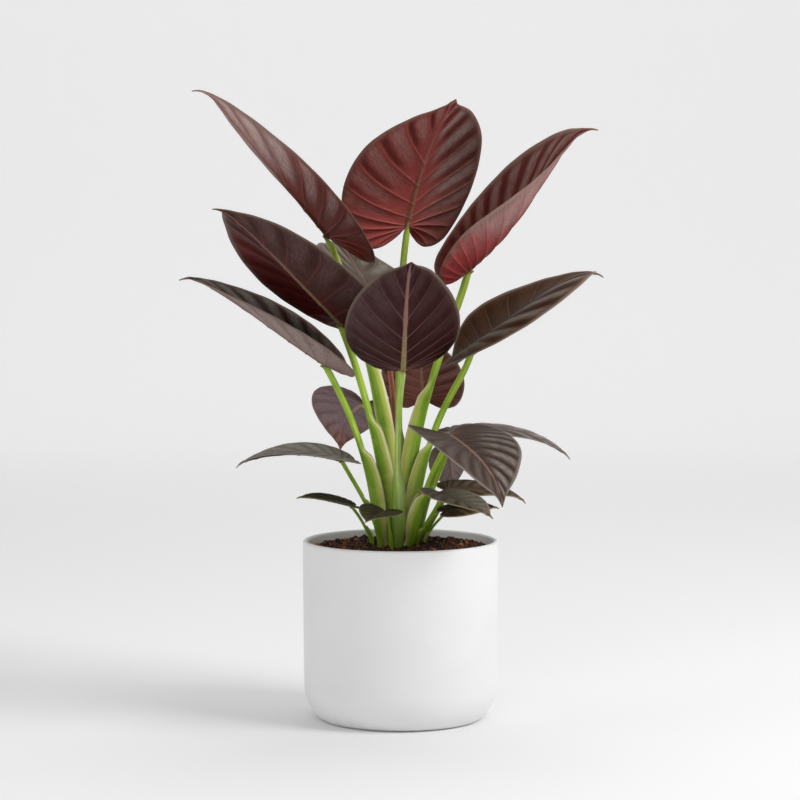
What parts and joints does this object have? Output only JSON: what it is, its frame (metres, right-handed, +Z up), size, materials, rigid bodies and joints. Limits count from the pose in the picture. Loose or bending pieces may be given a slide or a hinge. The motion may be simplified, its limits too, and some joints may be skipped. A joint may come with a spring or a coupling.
{
  "type": "potted alocasia",
  "caption": "Potted red secret alocasia: heart-shaped metallic copper-red leaves on sheathed green stalks, rising from soil in a plain white cylindrical pot.",
  "frame": {"origin": "centre of the pot's flat foot, on the surface it stands on", "axes": "+Z up along the pot's axis, -Y towards the front of the plant, +X to its right seen from the front"},
  "size_m": [0.3445, 0.3588, 0.5032],
  "materials": {
    "glaze": "satin",
    "soil": "matte",
    "rhizome": "matte",
    "blade": "satin",
    "stalk": "satin"
  },
  "bodies": {
    "root": {"pot": "glaze", "rhizome": "rhizome", "soil": "soil", "leaf_01_blade": "blade", "leaf_01_stalk": "stalk", "leaf_02_blade": "blade", "leaf_02_stalk": "stalk", "leaf_03_blade": "blade", "leaf_03_stalk": "stalk", "leaf_04_blade": "blade", "leaf_04_stalk": "stalk", "leaf_05_blade": "blade", "leaf_05_stalk": "stalk", "leaf_06_blade": "blade", "leaf_06_stalk": "stalk", "leaf_07_blade": "blade", "leaf_07_stalk": "stalk", "leaf_08_blade": "blade", "leaf_08_stalk": "stalk", "leaf_09_blade": "blade", "leaf_09_stalk": "stalk", "leaf_10_blade": "blade", "leaf_10_stalk": "stalk", "leaf_11_blade": "blade", "leaf_11_stalk": "stalk", "leaf_12_blade": "blade", "leaf_12_stalk": "stalk", "leaf_13_blade": "blade", "leaf_13_stalk": "stalk", "leaf_14_blade": "blade", "leaf_14_stalk": "stalk", "leaf_15_blade": "blade", "leaf_15_stalk": "stalk", "leaf_16_blade": "blade", "leaf_16_stalk": "stalk", "leaf_17_blade": "blade", "leaf_17_stalk": "stalk", "leaf_18_blade": "blade", "leaf_18_stalk": "stalk", "leaf_19_blade": "blade", "leaf_19_stalk": "stalk"}
  },
  "joints": []
}
